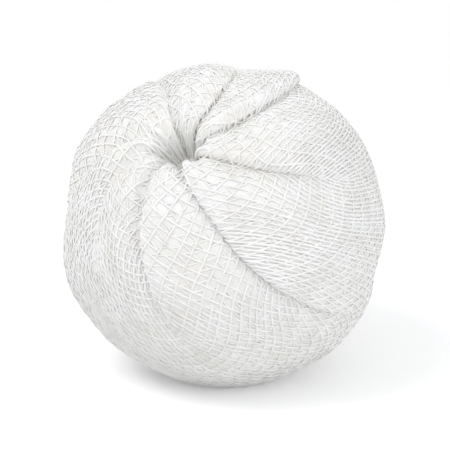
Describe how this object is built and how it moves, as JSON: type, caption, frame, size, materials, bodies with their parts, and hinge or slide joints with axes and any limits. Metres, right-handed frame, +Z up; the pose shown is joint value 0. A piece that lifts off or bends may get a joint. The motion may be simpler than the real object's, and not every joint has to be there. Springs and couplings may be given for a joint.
{
  "type": "gauze ball",
  "caption": "Small soft ball of folded white cotton gauze, its cloth gathered in swept folds and tucked into a hole at one side.",
  "frame": {"origin": "on the surface that the ball rests on, under the middle of its outline seen from above", "axes": "+Z is up from the flat rest spot; the tuck faces up and to the front, which is -Y, and a little to the left, which is -X"},
  "size_m": [0.0302, 0.0308, 0.0297],
  "materials": {
    "bleached_gauze": "matte bleached cotton gauze, open plain weave"
  },
  "bodies": {
    "root": {"gauze_ball": "bleached_gauze"}
  },
  "joints": []
}
